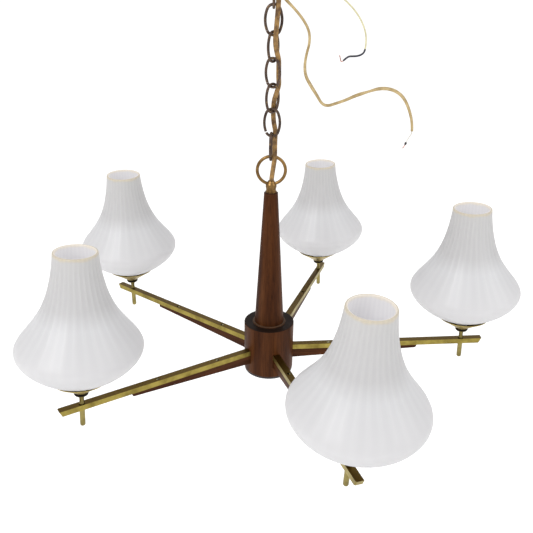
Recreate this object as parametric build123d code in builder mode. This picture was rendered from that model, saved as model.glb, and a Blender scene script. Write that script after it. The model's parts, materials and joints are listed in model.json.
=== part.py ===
from build123d import *
import math
import os

# Five-arm chandelier hung on a link chain: a turned hub and column carry five brass bars,
# each with a wooden fin below and an upright lamp with a bell-shaped glass shade above.
# Millimetres, +Z up. The origin is where the ceiling hook's collar meets the ceiling.
# Heights named *_Z are measured from the bars' top face; ceiling_z() turns them into model heights.

os.makedirs("parts", exist_ok=True)

# ---------------------------------------------------------------- driving dimensions
STEM_RADIUS = 260.0  # hub axis to lamp axis
BAR_OVERHANG = 27.3  # bar past the lamp axis
BAR_WIDTH = 9.0
BAR_HEIGHT = 6.8
BAR_WALL = 0.9
BAR_TENON = 17.5  # bar inside the hub
BAR_END_UNDERCUT = 3.2  # the bar's end leans back towards its lower edge
BAR_END_CHAMFER = 1.2

HUB_RADIUS = 32.9
HUB_TOP_Z = 34.5
HUB_BOTTOM_Z = -36.4
HUB_CAVITY_RADIUS = 22.0
HUB_ROOF = 12.5  # wood left above the cavity
HUB_CAP_THICKNESS = 2.5
SEAT_RING_RADIUS = 21.6
SEAT_RING_HEIGHT = 1.0

COLUMN_FOOT_RADIUS = 19.2
COLUMN_TOP_RADIUS = 8.5
COLUMN_TOP_Z = 213.5
COLUMN_CHAMFER = 0.9

ROD_RADIUS = 5.0  # hollow threaded rod, M10 x 1
ROD_BORE_RADIUS = 3.5
ROD_GRIP = 6.5  # rod inside the loop's boss
NUT_ACROSS_FLATS = 14.0
NUT_HEIGHT = 5.0
WASHER_RADIUS = 9.0
WASHER_THICKNESS = 1.2

LOOP_WIRE_RADIUS = 1.95
LOOP_OUTER_RADIUS = 18.95
LOOP_NECK_WALL = 0.95  # brass around the rod
LOOP_BOSS_SWELL = 0.5  # the boss over its neck
LOOP_NOZZLE_RADIUS = 4.1
LOOP_RISE = 27.0  # column top to the loop's centre

LINK_COUNT = 7
LINK_WIRE_RADIUS = 1.6
LINK_LENGTH = 34.9
LINK_WIDTH = 21.7
LINK_END_RADIUS = 7.6  # wire centreline at a link's two ends
LINK_JOINT_GAP = 0.25  # butt joint of a closed link
OPEN_JOINT_GAP = 1.5  # butt joint of the one link that has sprung open
OPEN_LINK = 2
LINK_TURNS = [84, -11, 41, -31, 53, 0, 90]  # each link's turn about the chain's axis
LINK_SHIFTS = [-0.8, 0, 0, 0, 0, 0, 0]  # the lowest link is pushed aside by the flex

HOOK_WIRE_RADIUS = 2.5
HOOK_BEND_RADIUS = 14.0
HOOK_NECK = 7.0  # ceiling to the shank's first bend
HOOK_DROP = 42.0  # ceiling to the hook's lowest wire centre
HOOK_COLLAR_RADIUS = 12.0
HOOK_COLLAR_THICKNESS = 3.0
HOOK_THREAD_RADIUS = 2.1
HOOK_THREAD_LENGTH = 22.0

FIN_TIP_RADIUS = 200.0  # hub axis to the fin's outer tip
FIN_ROOT_DEPTH = 12.5
FIN_TIP_DEPTH = 4.0
FIN_WIDTH = 8.0
FIN_TENON = 9.0
FIN_NOSE_RADIUS = 3.2
SCREW_RADII = [80.9, 164.9]  # hub axis to the two fin screws
SCREW_HEAD_RADIUS = 2.1
SCREW_HEAD_HEIGHT = 1.7
SCREW_SHANK_RADIUS = 1.2
SCREW_BITE = 3.2  # screw in the wood
SCREW_ACCESS_RADIUS = 2.4  # hole in the bar's top wall

PLATE_RADIUS = 21.4
PLATE_THICKNESS = 2.5
PLATE_BORE_RADIUS = 11.0
PLATE_GAP = 0.9  # room for the arms' slight cant
PLATE_SCREW_RADIUS = 18.4  # hub axis to the screws that hold the bars down
CAP_SCREW_COUNT = 3
CAP_SCREW_CIRCLE = 27.5
CAP_SCREW_LENGTH = 12.0

STEM_WAIST_RADIUS = 2.6
STEM_FOOT_RADIUS = 3.3
STEM_HEAD_RADIUS = 3.0
STEM_NECK_RADIUS = 2.35  # threaded end through the bar
STEM_BORE_RADIUS = 1.8
FINIAL_RADIUS = 3.1
FINIAL_BOTTOM_Z = -30.0
FINIAL_TIP_FILLET = 2.4
THREAD_GRIP = 6.0  # stem thread inside the finial

CONE_BOTTOM_Z = 10.6
CONE_TOP_Z = 13.4
CONE_TOP_RADIUS = 7.4
GASKET_RADIUS = 8.1
GASKET_THICKNESS = 3.0
DISH_LIP_RADIUS = 33.5
DISH_LIP_GAP = 1.75  # below the glass, so the glass can sit off centre
DISH_BELLY = 0.4  # its side above a straight cone, half way
DISH_THICKNESS = 1.0
SOCKET_RADIUS = 8.9
SOCKET_NECK_RADIUS = 7.0
SOCKET_NECK_HEIGHT = 4.0
SOCKET_TOP_Z = 54.0
SOCKET_FLOOR = 2.0
SOCKET_BORE_RADIUS = 6.1  # takes a small E12 screw base
SHADE_RING_GRIP = 2.9  # ring past the edge of the glass's hole
SHADE_RING_HEIGHT = 3.0

SHADE_BOTTOM_Z = 33.5
SHADE_FOOT_RADIUS = 22.0
SHADE_HOLE_PLAY = 3.0  # hole wider than the socket, so the glass can sit off centre
SHADE_RIM_Z = 185.3
SHADE_RIM_RADIUS = 23.4
SHADE_WALL = 2.8
SHADE_RIM_ROUND = 1.1
# radius and height of the bell's outer side between its foot and its rim
SHADE_BELL = [(30.8, 37.4), (38.0, 41.0), (49.0, 48.2), (58.8, 56.5), (66.0, 65.0), (69.3, 74.0),
              (66.3, 82.5), (56.0, 96.0), (46.8, 108.5), (39.2, 121.5), (32.8, 136.5), (28.2, 153.0),
              (25.2, 169.0)]

FLEX_WIDTH = 5.7  # flat twin flex
FLEX_THICKNESS = 2.9
LEAD_RADIUS = 0.8
LEAD_OFFSET = 2.55  # leads either side of the bar's middle
SPLICE_RADIUS = 11.0
SPLICE_TOP_Z = 9.0
SPLICE_BOTTOM_Z = -6.0

# fits
RUNNING_GAP = 0.4  # between a link and what it hangs on
SLIP = 0.15  # radial, bores over rods and tubes
SOLDER_GAP = 0.05  # radial, stem neck in the bar
SLOT_PLAY = 0.15  # hub slot around a bar or a fin, each side
LAY = 0.45  # between stacked lamp pieces where the arm's lean needs room

# How each arm stands: azimuth about the hub, then small errors of a hand-assembled fixture.
# azimuth, swing error, rise of the outer end, lamp lean towards the hub, lamp lean sideways
ARMS = [
    (-144.0, -1.01, 1.57, 3.57, -0.06),
    (144.0, 0.97, 1.78, 1.98, -2.13),
    (72.0, -0.78, 0.29, 3.24, -1.49),
    (0.0, 0.80, 2.68, 2.97, 1.38),
    (-72.0, 0.02, 2.43, -4.28, -0.16),
]
ARM_TURN = 0.27  # the whole ring of arms about the hub
# how far each glass sits off its lamp's axis, away from the hub and sideways
GLASS_SHIFTS = [(-1.5, 0.0), (0.0, 0.0), (0.0, -2.4), (-1.2, 2.2), (2.4, 1.2)]

# ---------------------------------------------------------------- worked-out sizes
BAR_END_RADIUS = STEM_RADIUS + BAR_OVERHANG
BAR_INNER_RADIUS = HUB_RADIUS - BAR_TENON
LOOP_MEAN_RADIUS = LOOP_OUTER_RADIUS - LOOP_WIRE_RADIUS
LOOP_NECK_RADIUS = ROD_RADIUS + SLIP + LOOP_NECK_WALL
LOOP_BOSS_RADIUS = LOOP_NECK_RADIUS + LOOP_BOSS_SWELL
LOOP_SEAT_Z = COLUMN_TOP_Z + WASHER_THICKNESS
LOOP_CENTRE_Z = COLUMN_TOP_Z + LOOP_RISE
LINK_HALF_LENGTH = LINK_LENGTH / 2 - LINK_WIRE_RADIUS
LINK_HALF_WIDTH = LINK_WIDTH / 2 - LINK_WIRE_RADIUS
LINK_PITCH = LINK_LENGTH - 4 * LINK_WIRE_RADIUS - RUNNING_GAP
FIRST_LINK_BOTTOM_Z = LOOP_CENTRE_Z + LOOP_MEAN_RADIUS - LOOP_WIRE_RADIUS - RUNNING_GAP - LINK_WIRE_RADIUS
FIRST_LINK_Z = FIRST_LINK_BOTTOM_Z + LINK_HALF_LENGTH
LAST_LINK_TOP_Z = FIRST_LINK_Z + (LINK_COUNT - 1) * LINK_PITCH + LINK_HALF_LENGTH
HOOK_LOW_Z = LAST_LINK_TOP_Z - LINK_WIRE_RADIUS - RUNNING_GAP - HOOK_WIRE_RADIUS
CEILING_Z = HOOK_LOW_Z + HOOK_DROP
HUB_BODY_BOTTOM_Z = HUB_BOTTOM_Z + HUB_CAP_THICKNESS
HUB_ROOF_Z = HUB_TOP_Z - HUB_ROOF
ROD_BOTTOM_Z = HUB_ROOF_Z - WASHER_THICKNESS - NUT_HEIGHT - 1.5
ROD_TOP_Z = LOOP_SEAT_Z + ROD_GRIP
PLATE_TOP_Z = -BAR_HEIGHT - PLATE_GAP
GASKET_TOP_Z = CONE_TOP_Z + GASKET_THICKNESS
SOCKET_SEAT_Z = GASKET_TOP_Z + DISH_THICKNESS
STEM_TOP_Z = SOCKET_SEAT_Z + SOCKET_FLOOR + 2.0
SOCKET_BORE_Z = SOCKET_SEAT_Z + SOCKET_FLOOR + SOCKET_NECK_HEIGHT
SHADE_FLOOR_Z = SHADE_BOTTOM_Z + SHADE_WALL
SHADE_HOLE_RADIUS = SOCKET_RADIUS + SHADE_HOLE_PLAY
SHADE_RING_RADIUS = SHADE_HOLE_RADIUS + SHADE_RING_GRIP


def ceiling_z(height):
    """Model height of a height measured from the bars' top face."""
    return height - CEILING_Z


def level(height):
    """Horizontal plane at a height measured from the bars' top face."""
    return Plane.XY.offset(ceiling_z(height))


def side_plane(frame):
    """Plane through a frame's X and Z: sketch x runs along its X, sketch y along its Z."""
    return Plane(origin=frame.origin, x_dir=frame.x_dir, z_dir=-frame.y_dir)


def turning_axis(frame):
    return Axis(frame.origin, frame.z_dir)


def raised(frame, height):
    """The frame moved along its own Z."""
    return frame.offset(height)


def slid(frame, along, across=0.0, height=0.0):
    """The frame moved along its own X, Y and Z."""
    return Plane(
        origin=frame.origin + frame.x_dir * along + frame.y_dir * across + frame.z_dir * height,
        x_dir=frame.x_dir,
        z_dir=frame.z_dir,
    )


FIXTURE = level(0)  # hub frame: on the axis, at the bars' top face


def arm_frame(arm):
    """On the hub's axis, X out along the bar, Z square to the bar's top face."""
    azimuth, swing, rise, _, _ = arm
    turn = math.radians(azimuth + ARM_TURN + swing)
    out = Vector(math.cos(turn), math.sin(turn), 0)
    across = Vector(-math.sin(turn), math.cos(turn), 0)
    tip = math.radians(rise)
    along = out * math.cos(tip) + Vector(0, 0, math.sin(tip))
    root = Vector(0, 0, ceiling_z(0)) + out * HUB_RADIUS
    return Plane(origin=root - along * HUB_RADIUS, x_dir=along, z_dir=along.cross(across))


def lamp_frame(arm):
    """On the lamp's axis at the bar's top face, Z up the lamp, X away from the hub."""
    azimuth, swing, _, lean_in, lean_aside = arm
    turn = math.radians(azimuth + ARM_TURN + swing)
    out = Vector(math.cos(turn), math.sin(turn), 0)
    across = Vector(-math.sin(turn), math.cos(turn), 0)
    seat = slid(arm_frame(arm), STEM_RADIUS).origin
    up = Vector(0, 0, 1).rotate(Axis((0, 0, 0), out), lean_aside)
    up = up.rotate(Axis((0, 0, 0), across), -lean_in)
    return Plane(origin=seat, x_dir=out.rotate(Axis((0, 0, 0), across), -lean_in), z_dir=up)


def write(part, name):
    part.label = name
    export_step(part, f"parts/{name}.step")


# ---------------------------------------------------------------- ceiling hook
hook_low = ceiling_z(HOOK_LOW_Z)
hook_centre = hook_low + HOOK_BEND_RADIUS
with BuildPart() as ceiling_hook:
    with BuildLine(Plane.XZ) as hook_line:
        shank = FilletPolyline(
            (0, -HOOK_COLLAR_THICKNESS / 2),
            (0, -HOOK_NECK),
            (HOOK_BEND_RADIUS, hook_centre + 0.7 * HOOK_BEND_RADIUS),
            (HOOK_BEND_RADIUS, hook_centre),
            radius=[5.0, 5.0],
        )
        CenterArc((0, hook_centre), HOOK_BEND_RADIUS, 0, -215)
    with BuildSketch(Plane(origin=shank @ 0, z_dir=shank % 0)):
        Circle(HOOK_WIRE_RADIUS)
    sweep()
    with BuildSketch(Plane.XY.offset(-HOOK_COLLAR_THICKNESS)):
        Circle(HOOK_COLLAR_RADIUS)
    extrude(amount=HOOK_COLLAR_THICKNESS)
    collar_rim = ceiling_hook.edges().filter_by(GeomType.CIRCLE).group_by(SortBy.RADIUS)[-1]
    chamfer(collar_rim.group_by(Axis.Z)[0], 1.0)
    with BuildSketch(Plane.XY):
        Circle(HOOK_THREAD_RADIUS)
    extrude(amount=HOOK_THREAD_LENGTH)
    chamfer(ceiling_hook.faces().sort_by(Axis.Z)[-1].edges(), 0.8 * HOOK_THREAD_RADIUS)
write(ceiling_hook.part, "ceiling_hook")


# ---------------------------------------------------------------- chain
def link_arcs():
    """One link's oval of four tangent arcs, centred on the origin: (start, middle, end) each."""
    end_offset = LINK_HALF_LENGTH - LINK_END_RADIUS
    side_radius = (LINK_HALF_WIDTH**2 + end_offset**2 - LINK_END_RADIUS**2) / (
        2 * (LINK_HALF_WIDTH - LINK_END_RADIUS)
    )
    side_centre_x = side_radius - LINK_HALF_WIDTH
    reach = math.hypot(side_centre_x, end_offset)
    x = side_centre_x / reach * LINK_END_RADIUS
    z = end_offset + end_offset / reach * LINK_END_RADIUS
    return [
        ((x, -z), (LINK_HALF_WIDTH, 0), (x, z)),
        ((x, z), (0, LINK_HALF_LENGTH), (-x, z)),
        ((-x, z), (-LINK_HALF_WIDTH, 0), (-x, -z)),
        ((-x, -z), (0, -LINK_HALF_LENGTH), (x, -z)),
    ]


def chain_link(number):
    """A link hanging in the chain, counted from the loop upwards."""
    turn = math.radians(LINK_TURNS[number - 1])
    centre = (LINK_SHIFTS[number - 1], 0, ceiling_z(FIRST_LINK_Z + (number - 1) * LINK_PITCH))
    face = Plane(origin=centre, x_dir=(math.cos(turn), math.sin(turn), 0),
                 z_dir=(math.sin(turn), -math.cos(turn), 0))
    gap = OPEN_JOINT_GAP if number == OPEN_LINK else LINK_JOINT_GAP
    arcs = link_arcs()
    joint = arcs[3][0]  # where the left side runs into the lower end
    joint_turn = math.degrees(math.atan2(-joint[1] - LINK_HALF_LENGTH + LINK_END_RADIUS, -joint[0]))
    with BuildPart() as link:
        with BuildLine(face) as oval:
            for start, middle, end in arcs:
                ThreePointArc(start, middle, end)
        with BuildSketch(Plane(origin=oval.wires()[0] @ 0, z_dir=oval.wires()[0] % 0)):
            Circle(LINK_WIRE_RADIUS)
        sweep()
        with BuildSketch(face):
            with Locations(Location(joint, joint_turn)):
                Rectangle(4 * LINK_WIRE_RADIUS, gap)
        extrude(amount=2 * LINK_WIRE_RADIUS, both=True, mode=Mode.SUBTRACT)
    return link.part


for number in range(1, LINK_COUNT + 1):
    write(chain_link(number), f"chain_link_{number}")

# ---------------------------------------------------------------- loop, column and hub
with BuildPart() as suspension_loop:
    with BuildSketch(side_plane(FIXTURE)):
        with BuildLine():
            boss = [
                (LOOP_NECK_RADIUS, LOOP_SEAT_Z),
                (LOOP_NECK_RADIUS, LOOP_SEAT_Z + 2.6),
                (LOOP_BOSS_RADIUS, LOOP_SEAT_Z + 5.0),
                (LOOP_BOSS_RADIUS, LOOP_SEAT_Z + 7.6),
                (LOOP_NOZZLE_RADIUS + 0.9, LOOP_SEAT_Z + 11.0),
                (LOOP_NOZZLE_RADIUS, LOOP_SEAT_Z + 12.6),
            ]
            Polyline((0, LOOP_SEAT_Z), boss[0], boss[1])
            Spline(*boss[1:], tangents=[(0, 1), (-0.3, 1)])
            Polyline(boss[-1], (0, boss[-1][1]), (0, LOOP_SEAT_Z))
        make_face()
    revolve(axis=turning_axis(FIXTURE))
    with BuildSketch(Plane.YZ):
        with Locations((0, ceiling_z(LOOP_CENTRE_Z + LOOP_MEAN_RADIUS))):
            Circle(LOOP_WIRE_RADIUS)
    revolve(axis=Axis((0, 0, ceiling_z(LOOP_CENTRE_Z)), (0, 1, 0)))
    with BuildSketch(level(LOOP_SEAT_Z)):
        Circle(ROD_RADIUS + SLIP)
    extrude(amount=ROD_GRIP + 1.0, mode=Mode.SUBTRACT)
    with BuildSketch(level(LOOP_SEAT_Z)):
        Circle(ROD_BORE_RADIUS)
    extrude(amount=13.0, mode=Mode.SUBTRACT)
write(suspension_loop.part, "suspension_loop")

with BuildPart() as loop_washer:
    with BuildSketch(level(COLUMN_TOP_Z)):
        Circle(LOOP_NECK_RADIUS + 0.8)
        Circle(ROD_RADIUS + SLIP, mode=Mode.SUBTRACT)
    extrude(amount=WASHER_THICKNESS)
write(loop_washer.part, "loop_washer")

with BuildPart() as column:
    with BuildSketch(side_plane(FIXTURE)):
        foot_z = HUB_TOP_Z + SEAT_RING_HEIGHT
        Polygon(
            (ROD_RADIUS + SLIP, foot_z),
            (COLUMN_FOOT_RADIUS, foot_z),
            (COLUMN_TOP_RADIUS, COLUMN_TOP_Z),
            (ROD_RADIUS + SLIP, COLUMN_TOP_Z),
            align=None,
        )
    revolve(axis=turning_axis(FIXTURE))
    top_rim = column.edges().filter_by(GeomType.CIRCLE).group_by(Axis.Z)[-1].sort_by(SortBy.RADIUS)[-1]
    chamfer(top_rim, COLUMN_CHAMFER)
write(column.part, "column")

with BuildPart() as hub:
    with BuildSketch(level(HUB_BODY_BOTTOM_Z)):
        Circle(HUB_RADIUS)
    extrude(amount=HUB_TOP_Z - HUB_BODY_BOTTOM_Z)
    rims = hub.edges().filter_by(GeomType.CIRCLE).group_by(Axis.Z)
    fillet(rims[-1], 0.8)
    fillet(hub.edges().filter_by(GeomType.CIRCLE).group_by(Axis.Z)[0], 1.5)
    with BuildSketch(level(HUB_TOP_Z)):
        Circle(SEAT_RING_RADIUS)
    extrude(amount=SEAT_RING_HEIGHT)
    fillet(hub.edges().filter_by(GeomType.CIRCLE).group_by(Axis.Z)[-1], 0.6)
    with BuildSketch(level(HUB_BODY_BOTTOM_Z)):
        Circle(HUB_CAVITY_RADIUS)
    extrude(amount=HUB_ROOF_Z - HUB_BODY_BOTTOM_Z, mode=Mode.SUBTRACT)
    with BuildSketch(level(HUB_ROOF_Z)):
        Circle(ROD_RADIUS + SLIP)
    extrude(amount=HUB_ROOF + SEAT_RING_HEIGHT, mode=Mode.SUBTRACT)
    for arm in ARMS:
        with BuildSketch(side_plane(arm_frame(arm))):
            with Locations(((HUB_CAVITY_RADIUS + HUB_RADIUS) / 2, -(BAR_HEIGHT + FIN_ROOT_DEPTH) / 2)):
                Rectangle(HUB_RADIUS, BAR_HEIGHT + FIN_ROOT_DEPTH + 2 * SLOT_PLAY)
        extrude(amount=BAR_WIDTH / 2 + SLOT_PLAY, both=True, mode=Mode.SUBTRACT)
    with BuildSketch(level(HUB_BODY_BOTTOM_Z)):
        with PolarLocations(CAP_SCREW_CIRCLE, CAP_SCREW_COUNT, start_angle=90):
            Circle(SCREW_SHANK_RADIUS + SOLDER_GAP)
    extrude(amount=CAP_SCREW_LENGTH, mode=Mode.SUBTRACT)
write(hub.part, "hub")

with BuildPart() as hub_cap:
    with BuildSketch(level(HUB_BOTTOM_Z)):
        Circle(HUB_RADIUS - 0.6)
    extrude(amount=HUB_CAP_THICKNESS)
    with BuildSketch(level(HUB_BOTTOM_Z)):
        with PolarLocations(CAP_SCREW_CIRCLE, CAP_SCREW_COUNT, start_angle=90):
            Circle(SCREW_SHANK_RADIUS + SLIP)
    extrude(amount=HUB_CAP_THICKNESS, mode=Mode.SUBTRACT)
write(hub_cap.part, "hub_cap")

with BuildPart() as cap_screws:
    with BuildSketch(level(HUB_BOTTOM_Z)):
        with PolarLocations(CAP_SCREW_CIRCLE, CAP_SCREW_COUNT, start_angle=90):
            Circle(SCREW_HEAD_RADIUS)
    extrude(amount=-SCREW_HEAD_HEIGHT)
    with BuildSketch(level(HUB_BOTTOM_Z)):
        with PolarLocations(CAP_SCREW_CIRCLE, CAP_SCREW_COUNT, start_angle=90):
            Circle(SCREW_SHANK_RADIUS)
    extrude(amount=CAP_SCREW_LENGTH)
write(cap_screws.part, "cap_screws")

with BuildPart() as centre_rod:
    with BuildSketch(level(ROD_BOTTOM_Z)):
        Circle(ROD_RADIUS)
        Circle(ROD_BORE_RADIUS, mode=Mode.SUBTRACT)
    extrude(amount=ROD_TOP_Z - ROD_BOTTOM_Z)
write(centre_rod.part, "centre_rod")

with BuildPart() as rod_nut:
    with BuildSketch(level(HUB_ROOF_Z - WASHER_THICKNESS - NUT_HEIGHT)):
        RegularPolygon(NUT_ACROSS_FLATS / 2, 6, major_radius=False)
        Circle(ROD_RADIUS + SLIP, mode=Mode.SUBTRACT)
    extrude(amount=NUT_HEIGHT)
    with BuildSketch(level(HUB_ROOF_Z - WASHER_THICKNESS)):
        Circle(WASHER_RADIUS)
        Circle(ROD_RADIUS + SLIP, mode=Mode.SUBTRACT)
    extrude(amount=WASHER_THICKNESS)
write(rod_nut.part, "rod_nut")

with BuildPart() as arm_plate:
    with BuildSketch(level(PLATE_TOP_Z - PLATE_THICKNESS)):
        Circle(PLATE_RADIUS)
        Circle(PLATE_BORE_RADIUS, mode=Mode.SUBTRACT)
    extrude(amount=PLATE_THICKNESS)
    for arm in ARMS:
        with BuildSketch(slid(arm_frame(arm), PLATE_SCREW_RADIUS, height=-BAR_HEIGHT)):
            Circle(SCREW_SHANK_RADIUS + SLIP)
        extrude(amount=-(PLATE_GAP + 2 * PLATE_THICKNESS), mode=Mode.SUBTRACT)
write(arm_plate.part, "arm_plate")

with BuildPart() as plate_screws:
    for arm in ARMS:
        plate_face = slid(arm_frame(arm), PLATE_SCREW_RADIUS, height=-BAR_HEIGHT + BAR_WALL)
        grip = BAR_WALL + PLATE_GAP + PLATE_THICKNESS + SCREW_HEAD_HEIGHT / 2
        with BuildSketch(plate_face):
            Circle(SCREW_SHANK_RADIUS)
        extrude(amount=-grip)
        with BuildSketch(raised(plate_face, -grip)):
            Circle(SCREW_HEAD_RADIUS)
        extrude(amount=-SCREW_HEAD_HEIGHT)
write(plate_screws.part, "plate_screws")

with BuildPart() as taped_splice:
    with BuildSketch(level(SPLICE_BOTTOM_Z)):
        Circle(SPLICE_RADIUS - SLIP)
    extrude(amount=SPLICE_TOP_Z - SPLICE_BOTTOM_Z)
    fillet(taped_splice.edges().filter_by(GeomType.CIRCLE), 2.0)
write(taped_splice.part, "taped_splice")


# ---------------------------------------------------------------- arms
def arm_bar(arm):
    """Square brass tube, closed at its outer end, drilled for the lamp stem and the screws."""
    frame = arm_frame(arm)
    lamp = lamp_frame(arm)
    with BuildPart() as bar:
        with BuildSketch(side_plane(frame)):
            Polygon(
                (BAR_INNER_RADIUS, 0),
                (BAR_END_RADIUS, 0),
                (BAR_END_RADIUS - BAR_END_UNDERCUT, -BAR_HEIGHT),
                (BAR_INNER_RADIUS, -BAR_HEIGHT),
                align=None,
            )
        extrude(amount=BAR_WIDTH / 2, both=True)
        end_face = bar.faces().sort_by(Axis(frame.origin, frame.x_dir))[-1]
        chamfer(end_face.edges().sort_by(Axis(frame.origin, frame.y_dir))[0], BAR_END_CHAMFER)
        with BuildSketch(slid(frame, BAR_INNER_RADIUS, height=-BAR_HEIGHT / 2)):
            with Locations(((STEM_RADIUS + 2 * STEM_FOOT_RADIUS - BAR_INNER_RADIUS) / 2, 0)):
                Rectangle(STEM_RADIUS + 2 * STEM_FOOT_RADIUS - BAR_INNER_RADIUS, BAR_WIDTH - 2 * BAR_WALL)
        extrude(amount=BAR_HEIGHT / 2 - BAR_WALL, both=True, mode=Mode.SUBTRACT)
        with BuildSketch(lamp):
            Circle(STEM_NECK_RADIUS + SOLDER_GAP)
        extrude(amount=1.5 * BAR_HEIGHT, both=True, mode=Mode.SUBTRACT)
        for along in SCREW_RADII:
            with BuildSketch(slid(frame, along)):
                Circle(SCREW_ACCESS_RADIUS)
            extrude(amount=-2 * BAR_WALL, mode=Mode.SUBTRACT)
        for along in [*SCREW_RADII, PLATE_SCREW_RADIUS]:
            with BuildSketch(slid(frame, along, height=-BAR_HEIGHT / 2)):
                Circle(SCREW_SHANK_RADIUS + SLIP)
            extrude(amount=-BAR_HEIGHT, mode=Mode.SUBTRACT)
    return bar.part


def arm_fin(arm):
    """Wooden blade under the bar, deepest at the hub, with a rounded nose."""
    frame = arm_frame(arm)
    top = -BAR_HEIGHT
    with BuildPart() as fin:
        with BuildSketch(side_plane(frame)) as outline:
            Polygon(
                (HUB_RADIUS - FIN_TENON, top),
                (FIN_TIP_RADIUS, top),
                (FIN_TIP_RADIUS - 1.0, top - FIN_TIP_DEPTH),
                (HUB_RADIUS, top - FIN_ROOT_DEPTH),
                (HUB_RADIUS - FIN_TENON, top - FIN_ROOT_DEPTH),
                align=None,
            )
            nose = outline.vertices().sort_by(Axis(frame.origin, frame.x_dir))[-2]
            fillet(nose, FIN_NOSE_RADIUS)
        extrude(amount=FIN_WIDTH / 2, both=True)
        for along in SCREW_RADII:
            with BuildSketch(slid(frame, along, height=top)):
                Circle(SCREW_SHANK_RADIUS + SOLDER_GAP)
            extrude(amount=-SCREW_BITE, mode=Mode.SUBTRACT)
    return fin.part


def fin_screw(frame, along):
    """Round head on the bar's lower wall, reached through the hole in its upper wall."""
    seat = slid(frame, along, height=-BAR_HEIGHT + BAR_WALL)
    with BuildPart() as screw:
        with BuildSketch(seat):
            Circle(SCREW_HEAD_RADIUS)
        extrude(amount=SCREW_HEAD_HEIGHT)
        fillet(screw.faces().sort_by(Axis(frame.origin, frame.z_dir))[-1].edges(), 0.7)
        with BuildSketch(seat):
            Circle(SCREW_SHANK_RADIUS)
        extrude(amount=-(BAR_WALL + SCREW_BITE))
    return screw.part


# ---------------------------------------------------------------- lamps
def lamp_stem(arm):
    """Hollow stem: threaded neck through the bar, waisted spool above, open window for the leads."""
    lamp = lamp_frame(arm)
    with BuildPart() as stem:
        with BuildSketch(side_plane(lamp)):
            with BuildLine():
                Polyline(
                    (STEM_BORE_RADIUS, -BAR_HEIGHT - THREAD_GRIP),
                    (STEM_NECK_RADIUS, -BAR_HEIGHT - THREAD_GRIP),
                    (STEM_NECK_RADIUS, LAY),
                    (STEM_FOOT_RADIUS, LAY),
                    (STEM_FOOT_RADIUS, 1.2),
                )
                Spline((STEM_FOOT_RADIUS, 1.2), (STEM_WAIST_RADIUS, 4.6), (STEM_HEAD_RADIUS, CONE_BOTTOM_Z),
                       tangents=[(-0.6, 1), (0.1, 1)])
                Polyline(
                    (STEM_HEAD_RADIUS, CONE_BOTTOM_Z),
                    (STEM_HEAD_RADIUS, STEM_TOP_Z),
                    (STEM_BORE_RADIUS, STEM_TOP_Z),
                    (STEM_BORE_RADIUS, -BAR_HEIGHT - THREAD_GRIP),
                )
            make_face()
        revolve(axis=turning_axis(lamp))
        with BuildSketch(slid(lamp, -STEM_NECK_RADIUS, height=-BAR_HEIGHT / 2)):
            Rectangle(2 * STEM_NECK_RADIUS, 1.9 * STEM_BORE_RADIUS)
        extrude(amount=BAR_HEIGHT / 2 - BAR_WALL, both=True, mode=Mode.SUBTRACT)
    return stem.part


def finial(arm):
    """Blind nut under the bar, closing the stem."""
    lamp = lamp_frame(arm)
    top = -BAR_HEIGHT - 2 * LAY
    with BuildPart() as nut:
        with BuildSketch(raised(lamp, top)):
            Circle(FINIAL_RADIUS)
        extrude(amount=FINIAL_BOTTOM_Z - top)
        tip = nut.faces().sort_by(Axis(lamp.origin, lamp.z_dir))[0]
        fillet(tip.edges(), FINIAL_TIP_FILLET)
        with BuildSketch(raised(lamp, top)):
            Circle(STEM_NECK_RADIUS + SOLDER_GAP)
        extrude(amount=-(THREAD_GRIP + 1.0), mode=Mode.SUBTRACT)
    return nut.part


def cone_nut(arm):
    """Flared brass nut that carries the gasket and the dish."""
    lamp = lamp_frame(arm)
    bore = STEM_HEAD_RADIUS + SOLDER_GAP
    with BuildPart() as nut:
        with BuildSketch(side_plane(lamp)):
            Polygon(
                (bore, CONE_BOTTOM_Z),
                (STEM_HEAD_RADIUS + 0.7, CONE_BOTTOM_Z),
                (CONE_TOP_RADIUS, CONE_TOP_Z - 0.7),
                (CONE_TOP_RADIUS, CONE_TOP_Z),
                (bore, CONE_TOP_Z),
                align=None,
            )
        revolve(axis=turning_axis(lamp))
    return nut.part


def gasket(arm):
    lamp = lamp_frame(arm)
    with BuildPart() as ring:
        with BuildSketch(raised(lamp, CONE_TOP_Z)):
            Circle(GASKET_RADIUS)
            Circle(STEM_HEAD_RADIUS + SLIP, mode=Mode.SUBTRACT)
        extrude(amount=GASKET_THICKNESS)
        fillet(ring.edges().filter_by(GeomType.CIRCLE).sort_by(SortBy.RADIUS)[-2:], 0.4)
    return ring.part


def glass_underside(radius):
    """Height of a centred glass's outer side at a radius between its foot and its widest point."""
    outline = [(SHADE_FOOT_RADIUS, SHADE_BOTTOM_Z), *SHADE_BELL]
    for (near, low), (far, high) in zip(outline, outline[1:]):
        if radius <= far:
            return low + (high - low) * (radius - near) / (far - near)


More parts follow.
